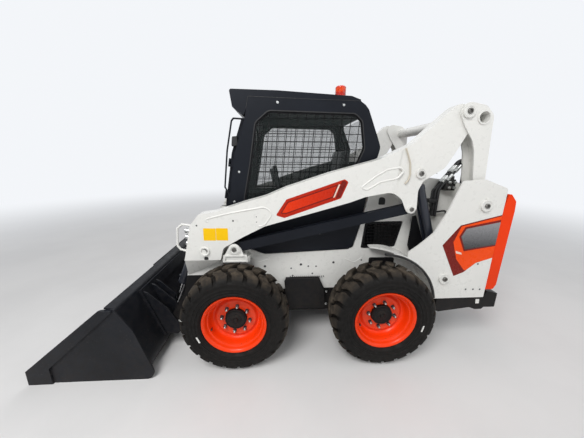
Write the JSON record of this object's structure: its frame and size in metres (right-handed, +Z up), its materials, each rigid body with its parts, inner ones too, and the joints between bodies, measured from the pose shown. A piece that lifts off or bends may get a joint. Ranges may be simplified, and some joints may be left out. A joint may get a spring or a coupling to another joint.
{
  "type": "skid steer loader",
  "caption": "Compact wheeled loader with a tilting cab, vertical-lift arms beside it on front and rear links, lift and tilt cylinders, and a wide bucket on a pivoting attachment frame.",
  "frame": {"origin": "on the ground, at the middle of the machine's length and width, arms down and bucket flat", "axes": "+X to the bucket, +Y to the machine's left, +Z up"},
  "size_m": [3.49, 1.676, 2.038],
  "materials": {
    "white_paint": "satin",
    "dark_paint": "satin",
    "orange_paint": "satin",
    "black_paint": "matte",
    "tyre_rubber": "matte",
    "cylinder_paint": "satin",
    "chrome_rod": "polished",
    "bare_steel": "satin",
    "iron": "rough",
    "window_glass": "clear",
    "seat_vinyl": "matte",
    "black_plastic": "matte",
    "beacon_plastic": "gloss",
    "lamp_plastic": "gloss"
  },
  "bodies": {
    "frame": {"axle_housings": "black_paint", "frame_sides": "white_paint", "belly_pan": "black_paint", "footwell": "dark_paint", "engine_hood": "dark_paint", "tower_plates": "white_paint", "tower_webs": "white_paint", "rear_fenders": "white_paint", "rear_bumper": "black_paint", "side_steps": "black_paint", "front_brackets": "white_paint", "frame_pins": "white_paint", "engine_block": "iron", "side_grilles": "black_paint"},
    "cab": {"cab_sides": "dark_paint", "cab_roof": "dark_paint", "cab_rear_wall": "dark_paint", "cab_floor": "dark_paint", "cab_front_frame": "dark_paint", "side_screens": "black_paint", "cab_glass": "window_glass", "seat_base": "black_plastic", "seat": "seat_vinyl", "control_levers": "black_plastic", "beacon_base": "black_plastic", "beacon": "beacon_plastic", "grab_rails": "dark_paint"},
    "cab_door": {"door_frame": "dark_paint", "door_glass": "window_glass"},
    "tailgate": {"tailgate": "orange_paint", "tailgate_grille": "black_paint", "tail_lamps": "lamp_plastic"},
    "front_links": {"front_links": "dark_paint"},
    "lift_arms": {"lift_arm_left": "white_paint", "lift_arm_right": "white_paint", "arm_pins": "white_paint", "arm_cross_tube": "white_paint", "coupler_guard": "white_paint"},
    "rear_links": {"rear_links": "white_paint"},
    "lift_barrels": {"lift_barrels": "cylinder_paint"},
    "lift_rods": {"lift_rods": "chrome_rod"},
    "tilt_barrels": {"tilt_barrels": "cylinder_paint"},
    "tilt_rods": {"tilt_rods": "chrome_rod"},
    "bucket": {"coupler_frame": "dark_paint", "bucket": "dark_paint", "cutting_edge": "bare_steel", "side_cutters": "dark_paint"},
    "wheel_front_left": {"tyre_front_left": "tyre_rubber", "rim_front_left": "orange_paint", "hub_front_left": "black_paint"},
    "wheel_front_right": {"tyre_front_right": "tyre_rubber", "rim_front_right": "orange_paint", "hub_front_right": "black_paint"},
    "wheel_rear_left": {"tyre_rear_left": "tyre_rubber", "rim_rear_left": "orange_paint", "hub_rear_left": "black_paint"},
    "wheel_rear_right": {"tyre_rear_right": "tyre_rubber", "rim_rear_right": "orange_paint", "hub_rear_right": "black_paint"}
  },
  "joints": [
    {"name": "lift", "type": "hinge", "parent": "frame", "child": "front_links", "pos_m": [0.343, 0, 0.88], "axis": [0, 1, 0], "range_deg": [0, 33.4]},
    {"name": "arm_swing", "type": "hinge", "parent": "front_links", "child": "lift_arms", "pos_m": [-0.936, 0, 1.167], "axis": [0, -1, 0], "range_deg": [0, 98.2]},
    {"name": "rear_link_swing", "type": "hinge", "parent": "lift_arms", "child": "rear_links", "pos_m": [-1.228, 0, 1.823], "axis": [0, 1, 0], "range_deg": [0, 59.7]},
    {"name": "lift_barrel_swing", "type": "hinge", "parent": "frame", "child": "lift_barrels", "pos_m": [-1.241, 0, 0.632], "axis": [0, -1, 0], "range_deg": [-0.5, 0.5]},
    {"name": "lift_rod_slide", "type": "slide", "parent": "lift_barrels", "child": "lift_rods", "axis": [0.3255, 0, 0.9455], "range_m": [0, 0.5066]},
    {"name": "bucket_tilt", "type": "hinge", "parent": "lift_arms", "child": "bucket", "pos_m": [0.855, 0, 0.19], "axis": [0, 1, 0], "range_deg": [-27, 107.6]},
    {"name": "tilt_barrel_swing", "type": "hinge", "parent": "lift_arms", "child": "tilt_barrels", "pos_m": [0.635, 0, 0.98], "axis": [0, 1, 0], "range_deg": [-1, 3]},
    {"name": "tilt_rod_slide", "type": "slide", "parent": "tilt_barrels", "child": "tilt_rods", "axis": [0.38, 0, -0.925], "range_m": [-0.055, 0.216]},
    {"name": "cab_tilt", "type": "hinge", "parent": "frame", "child": "cab", "pos_m": [-0.725, 0, 1.44], "axis": [0, -1, 0], "range_deg": [0, 42]},
    {"name": "cab_door_hinge", "type": "hinge", "parent": "cab", "child": "cab_door", "pos_m": [0.4315, 0.397, 1.1819], "axis": [-0.1687, 0, 0.9857], "range_deg": [0, 80]},
    {"name": "tailgate_hinge", "type": "hinge", "parent": "frame", "child": "tailgate", "pos_m": [-1.607, -0.634, 0.9], "axis": [0, 0, 1], "range_deg": [0, 100]},
    {"name": "front_left_wheel_spin", "type": "hinge", "parent": "frame", "child": "wheel_front_left", "pos_m": [0.337, 0.675, 0.387], "axis": [0, 1, 0], "continuous": true},
    {"name": "front_right_wheel_spin", "type": "hinge", "parent": "frame", "child": "wheel_front_right", "pos_m": [0.337, -0.675, 0.387], "axis": [0, 1, 0], "continuous": true},
    {"name": "rear_left_wheel_spin", "type": "hinge", "parent": "frame", "child": "wheel_rear_left", "pos_m": [-0.745, 0.675, 0.387], "axis": [0, 1, 0], "continuous": true},
    {"name": "rear_right_wheel_spin", "type": "hinge", "parent": "frame", "child": "wheel_rear_right", "pos_m": [-0.745, -0.675, 0.387], "axis": [0, 1, 0], "continuous": true}
  ],
  "couplings": [
    {"joint": "arm_swing", "follows": "lift", "ratio": 2.9353},
    {"joint": "rear_link_swing", "follows": "lift", "ratio": 1.7819},
    {"joint": "lift_barrel_swing", "follows": "lift", "ratio": 0.00964},
    {"joint": "lift_rod_slide", "follows": "lift", "m_per_rad": 0.86837},
    {"joint": "tilt_barrel_swing", "follows": "bucket_tilt", "ratio": 0.0205},
    {"joint": "tilt_rod_slide", "follows": "bucket_tilt", "m_per_rad": 0.1141}
  ]
}
